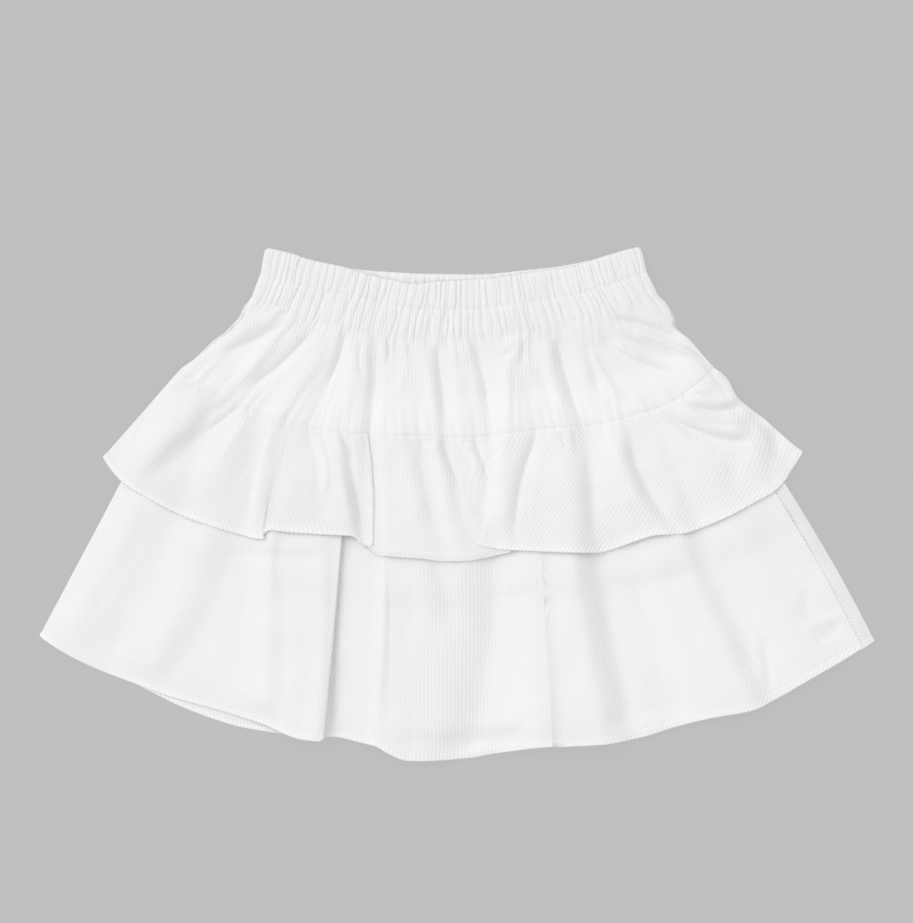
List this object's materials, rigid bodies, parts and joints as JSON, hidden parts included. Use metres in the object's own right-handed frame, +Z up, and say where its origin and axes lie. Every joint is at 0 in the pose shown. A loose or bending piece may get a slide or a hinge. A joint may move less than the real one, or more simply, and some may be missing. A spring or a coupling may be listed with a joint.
{
  "type": "tiered ruffle skirt",
  "caption": "White rib-knit pull-on skirt with a gathered elastic waistband, a yoke, a short ruffle and a longer flared lower tier, laid flat on its back.",
  "frame": {"origin": "on the surface the skirt lies on, under the middle of its outline", "axes": "+Z up from the surface, +Y from hem to waist, +X to the right seen from above with the front facing up"},
  "size_m": [0.5571, 0.3425, 0.0183],
  "materials": {
    "rib_knit": "matte",
    "waistband_knit": "matte"
  },
  "bodies": {
    "root": {"waistband_front": "waistband_knit", "waistband_back": "waistband_knit", "yoke_front": "rib_knit", "yoke_back": "rib_knit", "ruffle_front": "rib_knit", "ruffle_back": "rib_knit", "lower_front": "rib_knit", "lower_back": "rib_knit"}
  },
  "joints": []
}
